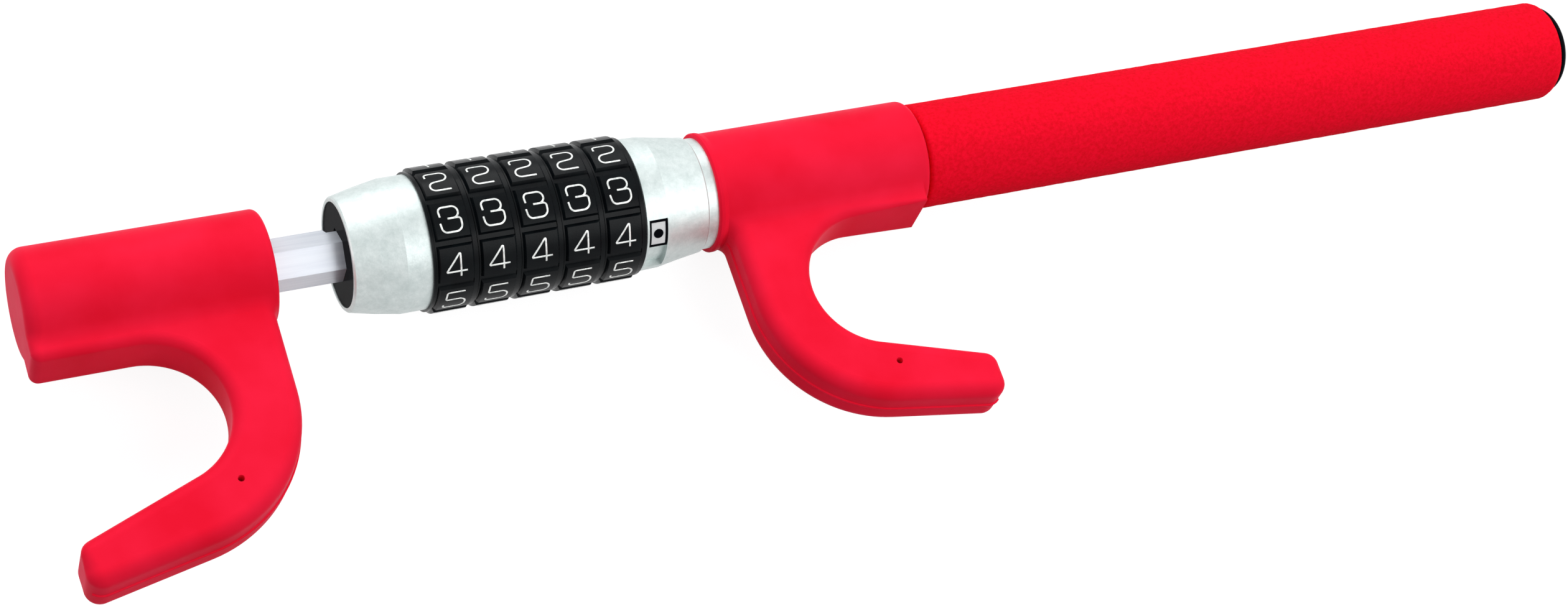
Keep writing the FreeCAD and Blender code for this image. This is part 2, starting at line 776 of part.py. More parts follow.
def build_index_slider():
    start = f"{window_start} + slider_gap"
    end = f"{window_end} - slider_gap"
    frame = arc_block("slider_block", start, end, "window_floor + slider_gap", "slider_top",
                      "window_from", "slider_angle")
    inset = (f"{start} + plate_inset", f"{end} - plate_inset")
    from_angle = "window_from + plate_inset_angle"
    sweep = "slider_angle - 2 * plate_inset_angle"
    pocket = arc_block("slider_pocket", *inset, "plate_floor", f"slider_top + {PAST}", from_angle, sweep)
    keep(cut("slider_frame", frame, pocket), "index_slider")
    blank = arc_block("plate_block", *inset, "plate_floor", "plate_top", from_angle, sweep)
    dot = doc.addObject("Part::Cylinder", "index_dot_disc")
    angle = "window_from + slider_angle / 2"
    turn(dot, X_AXIS, angle)
    bind(dot, "Radius", "dot_radius")
    bind(dot, "Height", "2 * dot_thickness")
    seat = "(plate_top - dot_thickness)"
    place(dot, f"({window_start} + {window_end}) / 2",
          f"axis_height - {seat} * sin({angle})", f"{seat} * cos({angle})")
    keep(cut("plate_cut", blank, dot), "index_plate")
    keep(dot, "index_dot")


def collar_pin(name, along, surface):
    """A grub screw from below that holds a collar on the core tube."""
    return upright_pin(name, along, f"-({surface}) + collar_pin_sink",
                       "-core_radius + collar_pin_bite", "collar_pin_radius")


def build_core_tube(handle_screws, collar_pins):
    body = turned_body("core_tube_body", [
        (core_start, "core_bore"),
        (core_start, "core_radius"),
        (core_end, "core_radius"),
        (core_end, "core_bore"),
    ])
    width = "bar_width + 2 * bar_gap"
    slot_end = f"({bar_end} + bar_travel + bar_gap)"
    slot_in(body, "bar_slot", [
        (core_start, "bar_floor"),
        (slot_end, "bar_floor"),
        (slot_end, f"core_radius + {PAST}"),
        (core_start, f"core_radius + {PAST}"),
    ], width)
    slot_in(body, "dog_slot", [
        (f"{dog_start} - bar_gap", f"core_bore - {PAST}"),
        (f"{dog_end} + bar_gap", f"core_bore - {PAST}"),
        (f"{dog_end} + bar_gap", f"bar_floor + {PAST}"),
        (f"{dog_start} - bar_gap", f"bar_floor + {PAST}"),
    ], width)
    place(body)
    holes = []
    for number in range(1, dial_total + 1):
        hole = doc.addObject("Part::Cylinder", f"ball_hole_{number}")
        turn(hole, X_AXIS, "90")
        bind(hole, "Radius", "ball_radius + running_gap")
        bind(hole, "Height", f"core_radius + {PAST} - ball_hole_floor")
        place(hole, dial_middle(number), "axis_height - ball_hole_floor")
        holes.append(hole)
    openings = join("core_openings", [*holes, handle_screws, collar_pins])
    keep(cut("core_tube_cut", body, openings), "core_tube")


def build_handle(handle_screws):
    pipe = tube("handle_pipe", core_end, handle_end, "core_radius", "handle_bore")
    keep(cut("handle_pipe_cut", pipe, handle_screws), "handle_tube")
    foam = tube("foam_tube", foam_start, foam_end, "foam_radius", "core_radius")
    foam = round_rims("foam_rounded", foam, [
        (foam_end, "foam_radius", "foam_round"),
        (foam_start, "foam_radius", "foam_near_round"),
    ])
    keep(foam, "foam_grip")
    dome = doc.addObject("Part::Ellipsoid", "cap_dome")
    turn(dome, Y_AXIS, "90")
    bind(dome, "Radius1", "cap_height")
    bind(dome, "Radius2", "cap_radius")
    bind(dome, "Radius3", "cap_radius")
    dome.Angle1 = 0
    place(dome, foam_end)
    plug = rod("cap_plug", f"{foam_end} - cap_plug_length", foam_end, "handle_bore")
    keep(join("end_cap_join", [dome, plug]), "end_cap")
    neck_end = "(-rear_barrel_back + neck_insert)"
    neck = tube("neck_ring_tube", neck_start, neck_end, "neck_radius", "core_radius")
    keep(neck, "neck_ring")


def build_guide_bush():
    disc = rod("bush_disc", f"{bush_face} + bush_edge / 2", core_start, "bush_radius")
    hole = hexagon("bush_hole", bush_face, core_start, "((shaft_flats / 2 + running_gap) / cos(30))")
    keep(cut("bush_cut", disc, hole), "shaft_guide_bush")


# ---------------------------------------------------------------- dials and code rings

dial_total = int(SIZES["dial_count"])


def dial_middle(number):
    return f"({dials_start} + ({number} - 0.5) * dial_pitch)"


def build_dial(number):
    half = "((dial_pitch - dial_gap) / 2)"
    name = f"dial_{number}"
    body = turned_body(f"{name}_body", [
        (f"-{half}", "ring_radius"),
        (f"-{half}", "dial_edge_radius"),
        (f"-{half} + dial_edge_width", "dial_edge_radius"),
        (f"-{half} + dial_edge_width + dial_bevel", "dial_radius"),
        (f"{half} - dial_band_width - dial_bevel", "dial_radius"),
        (f"{half} - dial_band_width", "dial_band_radius"),
        (half, "dial_band_radius"),
        (half, "ring_radius"),
    ])
    gap = slot_in(body, f"{name}_pad_gap", [
        ("-pad_gap_floor / 2", "dial_edge_radius"),
        ("-pad_gap_top / 2", "dial_radius"),
        ("-pad_gap_top / 2", f"dial_radius + {PAST}"),
        ("pad_gap_top / 2", f"dial_radius + {PAST}"),
        ("pad_gap_top / 2", "dial_radius"),
        ("pad_gap_floor / 2", "dial_edge_radius"),
    ], "dial_pitch - dial_band_width", "YZ")
    bind(gap.Profile[0], "AttachmentOffset.Base.z", "-(dial_gap + dial_band_width) / 2")
    repeat_round(body, gap, f"{name}_pad_gaps", "pad_count")
    turn(body, X_AXIS, "pad_angle + 180 / pad_count")
    place(body, dial_middle(number))
    keep(body, name)


def build_code_ring(number):
    half = "((dial_pitch - dial_gap) / 2)"
    web = "(web_thickness / 2)"
    bore = "(core_radius + running_gap)"
    name = f"code_ring_{number}"
    body = turned_body(f"{name}_body", [
        (f"-{half}", "ring_counterbore"),
        (f"-{half}", "ring_radius"),
        (half, "ring_radius"),
        (half, "ring_counterbore"),
        (web, "ring_counterbore"),
        (web, bore),
        (f"-{web}", bore),
        (f"-{web}", "ring_counterbore"),
    ])
    slot_in(body, f"{name}_gate", [
        (f"-{web} - {PAST}", "core_bore"),
        (f"{web} + {PAST}", "core_bore"),
        (f"{web} + {PAST}", "ring_counterbore"),
        (f"-{web} - {PAST}", "ring_counterbore"),
    ], "bar_width + 2 * gate_clearance")
    sketch = sketch_on(body, "YZ", f"{name}_detent_outline")
    centre = f"({bore} + detent_depth - detent_radius)"
    circle = Part.Circle(FreeCAD.Vector(-value(centre), 0, 0), Z_AXIS, value("detent_radius"))
    sketch.addGeometry(circle, False)
    measure(sketch, "Radius", 0, text="detent_radius")
    measure(sketch, "DistanceX", -1, 1, 0, 3, text=f"-{centre}")
    measure(sketch, "DistanceY", -1, 1, 0, 3, text="0")
    detent = body.newObject("PartDesign::Pocket", f"{name}_detent")
    detent.Profile = sketch
    detent.SideType = "Symmetric"
    bind(detent, "Length", f"web_thickness + {PAST}")
    repeat_round(body, detent, f"{name}_detents", "pad_count")
    place(body, dial_middle(number))
    keep(body, name)


def build_detents():
    balls = []
    springs = []
    for number in range(1, dial_total + 1):
        ball = doc.addObject("Part::Sphere", f"detent_ball_{number}")
        bind(ball, "Radius", "ball_radius")
        place(ball, dial_middle(number), "axis_height - core_radius + running_gap / 2 + ball_radius")
        balls.append(ball)
        space = "(core_radius - running_gap / 2 - 2 * ball_radius - ball_hole_floor)"
        spring = coil(f"detent_coil_{number}", f"{space} - 2 * detent_wire", "detent_coil_radius",
                      "detent_coil_pitch", "detent_wire")
        turn(spring, X_AXIS, "90")
        place(spring, dial_middle(number), "axis_height - ball_hole_floor - detent_wire")
        springs.append(spring)
    keep(join("detent_ball_set", balls), "detent_balls")
    keep(join("detent_spring_set", springs), "detent_springs")


# ---------------------------------------------------------------- lock bar and dog

def fin_middle(number):
    return f"({dial_middle(number)} - {fin_offset})"


bar_end = f"({fin_middle(dial_total)} + fin_thickness)"


def build_lock_bar():
    low = "(bar_floor + bar_gap)"
    step = f"({dog_end} + dog_clear)"
    corners = [
        (bar_start, low),
        (step, f"{low} + wedge_ratio * ({step} - {bar_start})"),
        (step, low),
        (bar_end, low),
        (bar_end, "bar_top"),
    ]
    for number in range(dial_total, 0, -1):
        middle = fin_middle(number)
        corners += [
            (f"{middle} + fin_thickness / 2", "bar_top"),
            (f"{middle} + fin_thickness / 2", "fin_top"),
            (f"{middle} - fin_thickness / 2", "fin_top"),
            (f"{middle} - fin_thickness / 2", "bar_top"),
        ]
    corners += [
        (head_end, "bar_top"),
        (head_end, "head_top"),
        (bar_start, "head_top"),
    ]
    bar = slab_body("lock_bar_body", corners, "bar_width")
    place(bar)
    keep(bar, "lock_bar")
    tip = "(shaft_flats / 2 + dog_clear)"
    dog = slab_body("lock_dog_body", [
        (dog_start, tip),
        (dog_end, tip),
        (dog_end, f"{low} - wedge_gap + wedge_ratio * ({dog_end} - {bar_start})"),
        (dog_start, f"{low} - wedge_gap + wedge_ratio * ({dog_start} - {bar_start})"),
    ], "bar_width")
    place(dog)
    keep(dog, "lock_dog")
    spring = coil("bar_coil", "bar_spring_space - 2 * bar_spring_wire", "bar_spring_radius",
                  "bar_spring_pitch", "bar_spring_wire")
    turn(spring, Y_AXIS, "90")
    place(spring, f"{core_start} + bar_spring_wire", f"axis_height + ({low} + head_top) / 2")
    keep(spring, "bar_spring")


# ---------------------------------------------------------------- assembly

handle_screws = build_rear_hook()
hook_pin = build_front_hook()
build_shaft(hook_pin)
pins = join("collar_pin_set", [
    collar_pin("front_collar_pin", f"{washer_start} - collar_pin_inset", "collar_radius"),
    collar_pin("rear_collar_pin", f"{rear_collar_start} + collar_pin_inset", "rear_collar_waist"),
])
keep(pins, "collar_pins")
keep(cut("front_collar_cut", build_front_collar(), pins), "front_collar")
keep(cut("rear_collar_cut", build_rear_collar(), pins), "rear_collar")
build_guide_bush()
build_core_tube(handle_screws, pins)
build_handle(handle_screws)
keep(tube("dial_washer_ring", washer_start, dials_start, "washer_radius", "ring_counterbore"), "dial_washer")
for dial in range(1, dial_total + 1):
    build_dial(dial)
    build_code_ring(dial)
build_detents()
build_lock_bar()
build_index_slider()
doc.recompute()

faults = [thing.Name for thing in doc.Objects if "Invalid" in thing.State or "Error" in thing.State]
for node in NODES:
    if node.Shape.isNull() or not node.Shape.isValid() or not node.Shape.Solids:
        faults.append(f"{node.Label} has no valid solid")
if faults:
    raise RuntimeError(f"these failed to build: {faults}")

os.makedirs("parts", exist_ok=True)
for node in NODES:
    node.Shape.exportStep(f"parts/{node.Label}.step")
    print(f"{node.Label}: {len(node.Shape.Solids)} solid(s), {node.Shape.Volume:.0f} mm3")
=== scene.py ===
"""Looks for a twin-hook steering-wheel lock: finishes, dial numbers, foam grip, seams, light and camera.

Every length is in metres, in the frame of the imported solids: the shaft runs along X, the hooks hang toward -Y
and Z is square to them. Angles about the shaft run from +Z toward -Y.
"""

import json
import math

import bmesh
import bpy
from mathutils import Matrix, Vector, noise


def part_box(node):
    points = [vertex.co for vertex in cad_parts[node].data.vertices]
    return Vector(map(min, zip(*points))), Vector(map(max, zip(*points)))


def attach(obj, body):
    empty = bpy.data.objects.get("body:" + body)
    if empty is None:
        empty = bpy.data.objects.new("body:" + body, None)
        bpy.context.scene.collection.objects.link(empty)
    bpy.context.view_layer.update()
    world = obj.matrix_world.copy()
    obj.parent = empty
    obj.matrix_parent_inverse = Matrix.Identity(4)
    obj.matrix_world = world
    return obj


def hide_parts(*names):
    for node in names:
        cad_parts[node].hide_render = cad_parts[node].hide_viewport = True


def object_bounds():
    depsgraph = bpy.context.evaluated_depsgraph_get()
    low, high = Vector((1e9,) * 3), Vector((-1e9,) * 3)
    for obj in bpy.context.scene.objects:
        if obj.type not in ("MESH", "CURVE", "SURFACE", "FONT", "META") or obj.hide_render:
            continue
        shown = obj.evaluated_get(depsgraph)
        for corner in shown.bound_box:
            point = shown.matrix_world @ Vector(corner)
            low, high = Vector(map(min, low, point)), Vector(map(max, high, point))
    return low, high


MM = 0.001
SAME_PLACE = 0.001 * MM

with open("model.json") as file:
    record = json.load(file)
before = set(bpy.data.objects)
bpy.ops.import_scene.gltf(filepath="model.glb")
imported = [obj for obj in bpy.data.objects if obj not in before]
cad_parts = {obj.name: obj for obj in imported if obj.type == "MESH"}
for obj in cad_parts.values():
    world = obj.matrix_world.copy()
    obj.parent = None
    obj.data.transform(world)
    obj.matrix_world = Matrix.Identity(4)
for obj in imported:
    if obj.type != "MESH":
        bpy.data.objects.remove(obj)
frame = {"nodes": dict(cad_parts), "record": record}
nodes = frame["nodes"]
cad_low, cad_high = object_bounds()

# ---------------------------------------------------------------- places read from the frame

shaft_low, shaft_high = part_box("lock_shaft")
SHAFT_Y = (shaft_low.y + shaft_high.y) / 2
DIALS = ["dial_1", "dial_2", "dial_3", "dial_4", "dial_5"]


def radius_of(node):
    """The outer radius of a round node about the shaft line."""
    low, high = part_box(node)
    return (high.z - low.z) / 2


def on_shaft(along, radius, angle):
    """A point at an angle about the shaft line."""
    return Vector((along, SHAFT_Y - radius * math.sin(angle), radius * math.cos(angle)))


# ---------------------------------------------------------------- camera

CAMERA_PLACE = (-0.412266, -0.401605, 0.900687)
CAMERA_DEGREES = (28.366, -14.365, -18.74)
LENS_MM = 73.63
SENSOR_MM = 36.0


def make_camera():
    """The camera looks down from the left of the hooks, rolled so that the shaft climbs to the right."""
    data = bpy.data.cameras.new("camera")
    data.lens = LENS_MM
    data.sensor_width = SENSOR_MM
    data.clip_start = 0.05
    data.clip_end = 20.0
    camera = bpy.data.objects.new("camera", data)
    camera.location = CAMERA_PLACE
    camera.rotation_euler = [math.radians(angle) for angle in CAMERA_DEGREES]
    bpy.context.scene.collection.objects.link(camera)
    bpy.context.scene.camera = camera


# ---------------------------------------------------------------- material helpers

class Finish:
    """A node material built round one Principled shader."""

    def __init__(self, name, color, roughness, metallic=0.0, **sockets):
        self.material = bpy.data.materials.new(name)
        self.material.use_nodes = True
        self.nodes = self.material.node_tree.nodes
        self.links = self.material.node_tree.links
        self.shader = self.nodes["Principled BSDF"]
        self.shader.inputs["Base Color"].default_value = (*color, 1.0)
        self.shader.inputs["Roughness"].default_value = roughness
        self.shader.inputs["Metallic"].default_value = metallic
        for socket, number in sockets.items():
            self.shader.inputs[socket.replace("_", " ")].default_value = number
        self.place = self.nodes.new("ShaderNodeTexCoord").outputs["Object"]

    def noise(self, scale, detail=2.0, roughness=0.5, stretch=None):
        node = self.nodes.new("ShaderNodeTexNoise")
        node.inputs["Scale"].default_value = scale
        node.inputs["Detail"].default_value = detail
        node.inputs["Roughness"].default_value = roughness
        self.links.new(self.stretched(stretch), node.inputs["Vector"])
        return node.outputs["Fac"]

    def cells(self, scale, stretch=None):
        node = self.nodes.new("ShaderNodeTexVoronoi")
        node.feature = "F1"
        node.inputs["Scale"].default_value = scale
        self.links.new(self.stretched(stretch), node.inputs["Vector"])
        return node.outputs["Distance"]

    def stretched(self, stretch):
        if stretch is None:
            return self.place
        node = self.nodes.new("ShaderNodeMapping")
        node.inputs["Scale"].default_value = stretch
        self.links.new(self.place, node.inputs["Vector"])
        return node.outputs["Vector"]

    def ramp(self, source, *stops):
        """A colour ramp over (position, color) stops."""
        node = self.nodes.new("ShaderNodeValToRGB")
        while len(node.color_ramp.elements) < len(stops):
            node.color_ramp.elements.new(0.5)
        for element, (position, color) in zip(node.color_ramp.elements, stops):
            element.position = position
            element.color = (*color, 1.0)
        self.links.new(source, node.inputs["Fac"])
        return node.outputs["Color"]

    def span(self, source, low, high):
        """The source, which runs from 0 to 1, spread between two numbers."""
        node = self.nodes.new("ShaderNodeMapRange")
        node.inputs["To Min"].default_value = low
        node.inputs["To Max"].default_value = high
        self.links.new(source, node.inputs["Value"])
        return node.outputs["Result"]

    def into(self, socket, source):
        self.links.new(source, self.shader.inputs[socket])

    def bump(self, height, strength, distance):
        """Adds a layer of bump over what is already there. The distance is in metres."""
        node = self.nodes.new("ShaderNodeBump")
        node.inputs["Strength"].default_value = strength
        node.inputs["Distance"].default_value = distance
        self.links.new(height, node.inputs["Height"])
        present = self.shader.inputs["Normal"].links
        if present:
            self.links.new(present[0].from_socket, node.inputs["Normal"])
        self.links.new(node.outputs["Normal"], self.shader.inputs["Normal"])


# ---------------------------------------------------------------- materials

PINK_GLOSS = (1.0, 0.33, 1.0, 1.0)
PINK_SHEEN = (1.0, 0.10, 0.30, 1.0)


def red_moulding():
    """Soft PVC: cloudy red with a pink sheen, hardly any reflection and a faint orange peel."""
    finish = Finish("red_moulding", (0.92, 0.004, 0.03), 0.42, Specular_IOR_Level=0.02, Sheen_Weight=0.30,
                    Sheen_Roughness=0.35)
    finish.shader.inputs["Specular Tint"].default_value = PINK_GLOSS
    finish.shader.inputs["Sheen Tint"].default_value = PINK_SHEEN
    clouds = finish.noise(45.0, 3.0)
    finish.into("Base Color", finish.ramp(clouds, (0.3, (0.88, 0.008, 0.030)), (0.7, (0.96, 0.014, 0.048))))
    finish.into("Roughness", finish.span(finish.noise(160.0, 3.0), 0.38, 0.5))
    finish.bump(finish.noise(900.0, 2.0), 0.12, 0.0001)
    finish.bump(finish.noise(150.0, 1.0), 0.10, 0.0002)
    return finish.material


def red_foam():
    """Closed-cell foam: matte, with a fine broken grain."""
    finish = Finish("red_foam", (0.90, 0.002, 0.02), 0.85, Specular_IOR_Level=0.08)
    grain = finish.noise(800.0, 4.0, 0.7)
    finish.into("Base Color", finish.ramp(grain, (0.35, (0.80, 0.001, 0.012)), (0.62, (0.99, 0.002, 0.024))))
    finish.bump(grain, 0.35, 0.0003)
    finish.bump(finish.cells(900.0), 0.25, 0.0002)
    finish.bump(finish.noise(260.0, 2.0), 0.18, 0.0003)
    return finish.material


def satin_metal():
    """Bead-blasted alloy: mottled grey with a fine grain."""
    finish = Finish("satin_metal", (0.60, 0.67, 0.66), 0.46, 0.75)
    clouds = finish.noise(220.0, 8.0, 0.85)
    finish.into("Base Color", finish.ramp(clouds, (0.34, (0.49, 0.56, 0.55)), (0.66, (0.67, 0.73, 0.72))))
    finish.into("Roughness", finish.span(finish.noise(320.0, 3.0), 0.42, 0.54))
    finish.bump(finish.noise(1400.0, 3.0, 0.6), 0.22, 0.0002)
    finish.bump(finish.noise(300.0, 2.0), 0.12, 0.0002)
    return finish.material


def bright_zinc():
    """Drawn steel with bright zinc: fine lines along the shaft."""
    finish = Finish("bright_zinc", (0.62, 0.66, 0.71), 0.28, 0.45)
    lines = finish.noise(600.0, 3.0, 0.6, (0.04, 1.0, 1.0))
    finish.into("Roughness", finish.span(lines, 0.24, 0.36))
    finish.into("Base Color", finish.ramp(lines, (0.35, (0.58, 0.62, 0.68)), (0.65, (0.66, 0.70, 0.75))))
    finish.bump(lines, 0.03, 0.0001)
    return finish.material


def black_gloss():
    """Black plastic: less glossy than its slot's name says, with a very weak reflection."""
    finish = Finish("black_gloss", (0.004, 0.0042, 0.006), 0.2, IOR=1.03)
    finish.into("Roughness", finish.span(finish.noise(220.0, 3.0), 0.15, 0.3))
    finish.bump(finish.noise(500.0, 2.0), 0.05, 0.0001)
    return finish.material


def dial_black():
    """Moulded nylon: nearly black, with a weak reflection and a very fine grain."""
    finish = Finish("dial_black", (0.003, 0.004, 0.005), 0.26, Specular_IOR_Level=0.09)
    clouds = finish.noise(180.0, 3.0)
    shades = finish.ramp(clouds, (0.3, (0.0015, 0.002, 0.003)), (0.7, (0.004, 0.006, 0.007)))
    finish.into("Base Color", shades)
    finish.into("Roughness", finish.span(finish.noise(420.0, 3.0), 0.20, 0.32))
    finish.bump(finish.noise(1800.0, 2.0), 0.12, 0.0001)
    return finish.material


def number_silver():
    """Silver for the raised numbers, duller in places."""
    finish = Finish("number_silver", (0.72, 0.74, 0.72), 0.34, 0.55)
    worn = finish.noise(900.0, 3.0, 0.6)
    finish.into("Base Color", finish.ramp(worn, (0.3, (0.50, 0.53, 0.52)), (0.55, (0.86, 0.88, 0.85))))
    finish.bump(worn, 0.1, 0.0001)
    return finish.material


def plain_steel():
    finish = Finish("plain_steel", (0.45, 0.46, 0.47), 0.4, 1.0)
    finish.into("Roughness", finish.span(finish.noise(300.0, 3.0), 0.3, 0.55))
    return finish.material


def ring_brass():
    finish = Finish("ring_brass", (0.72, 0.53, 0.22), 0.3, 1.0)
    finish.into("Roughness", finish.span(finish.noise(700.0, 3.0, 0.6, (1.0, 0.1, 0.1)), 0.2, 0.42))
    return finish.material


def spring_steel():
    finish = Finish("spring_steel", (0.5, 0.5, 0.52), 0.25, 1.0)
    finish.into("Roughness", finish.span(finish.noise(900.0, 2.0), 0.2, 0.35))
    return finish.material


def index_white():
    finish = Finish("index_white", (0.88, 0.89, 0.88), 0.35)
    clouds = finish.noise(500.0, 2.0)
    shades = finish.ramp(clouds, (0.3, (0.82, 0.83, 0.82)), (0.7, (0.9, 0.91, 0.9)))
    finish.into("Base Color", shades)
    return finish.material


MAKERS = [red_moulding, red_foam, satin_metal, bright_zinc, black_gloss, dial_black, number_silver,
          plain_steel, ring_brass, spring_steel, index_white]


def dress_nodes(materials):
    """Gives every solid of the frame the material of its slot."""
    for part in frame["record"]["subparts"]:
        mesh = nodes[part["node"]].data
        mesh.materials.clear()
        mesh.materials.append(materials[part["material_slot"]])


def add_piece(name, mesh, material, body):
    piece = bpy.data.objects.new(name, mesh)
    bpy.context.scene.collection.objects.link(piece)
    mesh.materials.append(material)
    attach(piece, body)
    return piece


# ---------------------------------------------------------------- dial numbers

NUMBER_WIDTH = 7.0 * MM
NUMBER_HEIGHT = 8.4 * MM
STROKE_WIDTH = 0.62 * MM
STROKE_RISE = 0.07 * MM
STROKE_SINK = 0.12 * MM
STROKE_STEP = 0.4 * MM
CORNER = 2.1 * MM
ARC_STEP = math.radians(12.0)
PAD_SHIFT = -0.6 * MM
PAD_STEP = math.radians(36.0)
FOUR_ANGLE = math.radians(49.8)

# Each number is one or more strokes of (across, up, corner radius) in a box one wide and one high.
# A corner radius is a share of CORNER.
NUMBERS = {
    0: [[(0.5, 1.0, 0), (0.0, 1.0, 1), (0.0, 0.0, 1), (1.0, 0.0, 1), (1.0, 1.0, 1), (0.5, 1.0, 0)]],
    1: [[(0.22, 0.78, 0), (0.58, 1.0, 0.2), (0.58, 0.0, 0)]],
    2: [[(0.0, 0.74, 0), (0.0, 1.0, 1), (0.97, 1.0, 1), (0.97, 0.52, 1), (0.06, 0.42, 1),
         (0.06, 0.0, 1), (1.0, 0.0, 0)]],
    3: [[(0.04, 0.62, 0), (0.0, 1.0, 1.25), (0.93, 1.0, 1.25), (0.93, 0.53, 0.9), (0.38, 0.53, 0)],
        [(0.70, 0.53, 0), (1.0, 0.53, 0.9), (1.0, 0.0, 1.25), (0.06, 0.0, 1.25), (0.0, 0.38, 0)]],
    4: [[(0.70, 0.0, 0), (0.70, 1.0, 0.12), (0.0, 0.22, 0.12), (1.0, 0.22, 0)]],
    5: [[(0.94, 1.0, 0), (0.10, 1.0, 0.3), (0.06, 0.56, 0.3), (1.0, 0.56, 1), (1.0, 0.0, 1),
         (0.0, 0.0, 1), (0.0, 0.2, 0)]],
    6: [[(0.96, 0.8, 0), (0.96, 1.0, 1), (0.0, 1.0, 1), (0.0, 0.0, 1), (1.0, 0.0, 1), (1.0, 0.56, 1),
         (0.04, 0.56, 0.6), (0.0, 0.4, 0)]],
    7: [[(0.0, 1.0, 0), (1.0, 1.0, 0.5), (0.36, 0.0, 0)]],
    8: [[(0.5, 0.54, 0), (0.06, 0.54, 0.9), (0.06, 1.0, 1), (0.94, 1.0, 1), (0.94, 0.54, 0.9),
         (0.5, 0.54, 0)],
        [(0.5, 0.54, 0), (0.0, 0.54, 0.9), (0.0, 0.0, 1), (1.0, 0.0, 1), (1.0, 0.54, 0.9),
         (0.5, 0.54, 0)]],
    9: [[(0.04, 0.2, 0), (0.04, 0.0, 1), (1.0, 0.0, 1), (1.0, 1.0, 1), (0.0, 1.0, 1), (0.0, 0.44, 1),
         (0.96, 0.44, 0.6), (1.0, 0.6, 0)]],
}


def rounded_line(corners):
    """Points along straight runs whose corners are rounded by arcs."""
    points = [corners[0][0]]
    for (before, _), (corner, radius), (after, _) in zip(corners, corners[1:], corners[2:]):
        to_before = (before - corner).normalized()
        to_after = (after - corner).normalized()
        half_angle = to_before.angle(to_after) / 2
        longest = min((before - corner).length, (after - corner).length) * 0.5
        cut_back = min(radius / math.tan(half_angle), longest)
        radius = cut_back * math.tan(half_angle)
        centre = corner + (to_before + to_after).normalized() * (radius / math.sin(half_angle))
        first = corner + to_before * cut_back - centre
        last = corner + to_after * cut_back - centre
        sweep = first.angle_signed(last) if radius > 0 else 0.0
        steps = max(2, round(abs(sweep) / ARC_STEP))
        for step in range(steps + 1):
            arm = first.copy()
            arm.rotate(Matrix.Rotation(-sweep * step / steps, 2))
            points.append(centre + arm)
    points.append(corners[-1][0])
    return points


def even_points(points, spacing):
    """The line again with points at most a spacing apart, and none twice."""
    dense = [points[0]]
    for start, end in zip(points, points[1:]):
        steps = max(1, math.ceil((end - start).length / spacing))
        dense += [start.lerp(end, step / steps) for step in range(1, steps + 1)]
    kept = dense[:1]
    kept += [point for before, point in zip(dense, dense[1:]) if (point - before).length > SAME_PLACE]
    return kept


def add_stroke(mesh, points, wrap):
    """A bead with a rounded top along flat points. wrap turns (across, up, rise) into a place on the pad."""
    half = STROKE_WIDTH / 2
    section = [(-half, -STROKE_SINK), (-half, 0.0), (-half * 0.5, STROKE_RISE), (half * 0.5, STROKE_RISE),
               (half, 0.0), (half, -STROKE_SINK)]
    rings = []
    for index, point in enumerate(points):
        before = points[max(index - 1, 0)]
        after = points[min(index + 1, len(points) - 1)]
        along = (after - before).normalized()
        side = Vector((-along.y, along.x))
        rings.append([mesh.verts.new(wrap(*(point + side * offset), rise)) for offset, rise in section])
    count = len(section)
    for first, second in zip(rings, rings[1:]):
        for index in range(count):
            following = (index + 1) % count
            mesh.faces.new((first[index], first[following], second[following], second[index]))
    mesh.faces.new(rings[0][::-1])
    mesh.faces.new(rings[-1])


def pad_middle(dial):
    """The middle of a dial's raised pads along X: the pads leave a bare band on the handle's side."""
    low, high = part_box(dial)
    return (low.x + high.x) / 2 + PAD_SHIFT


def make_numbers(dial, material):
    """The ten numbers of a dial, one on each pad."""
    pad_radius = radius_of(dial)
    middle = pad_middle(dial)
    mesh = bmesh.new()
    for number, strokes in NUMBERS.items():
        centre_angle = FOUR_ANGLE + (number - 4) * PAD_STEP

        def wrap(across, up, rise, centre_angle=centre_angle):
            return on_shaft(middle + across, pad_radius + rise, centre_angle - up / pad_radius)

        for stroke in strokes:
            corners = []
            for across, up, share in stroke:
                place = Vector(((across - 0.5) * NUMBER_WIDTH, (up - 0.5) * NUMBER_HEIGHT))
                corners.append((place, share * CORNER))
            add_stroke(mesh, even_points(rounded_line(corners), STROKE_STEP), wrap)
    bmesh.ops.recalc_face_normals(mesh, faces=mesh.faces)
    data = bpy.data.meshes.new(f"{dial}_numbers")
    mesh.to_mesh(data)
    mesh.free()
    data.shade_smooth()
    add_piece(f"{dial}_numbers", data, material, dial.replace("dial", "dial_unit"))


# ---------------------------------------------------------------- parting lines

SEAM_RADIUS = 0.5 * MM


def line_length(points):
    return sum((after - before).length for before, after in zip(points, points[1:]))


def mid_section(node):
    """The longest closed loop of points where a moulding meets its mid plane. No point comes twice."""
    mesh = bmesh.new()
    mesh.from_mesh(nodes[node].data)
    bmesh.ops.remove_doubles(mesh, verts=mesh.verts, dist=SAME_PLACE)
    everything = mesh.verts[:] + mesh.edges[:] + mesh.faces[:]
    cut = bmesh.ops.bisect_plane(mesh, geom=everything, dist=SAME_PLACE, plane_co=(0, 0, 0),
                                 plane_no=(0, 0, 1))
    edges = dict.fromkeys(item for item in cut["geom_cut"] if isinstance(item, bmesh.types.BMEdge))
    chains = []
    while edges:
        edge = next(iter(edges))
        del edges[edge]
        chain = [edge.verts[0], edge.verts[1]]
        following = edge
        while following:
            following = next((item for item in chain[-1].link_edges if item in edges), None)
            if following:
                del edges[following]
                chain.append(following.other_vert(chain[-1]))
        chains.append([vert.co.copy() for vert in chain])
    mesh.free()
    return max(chains, key=line_length)[:-1]


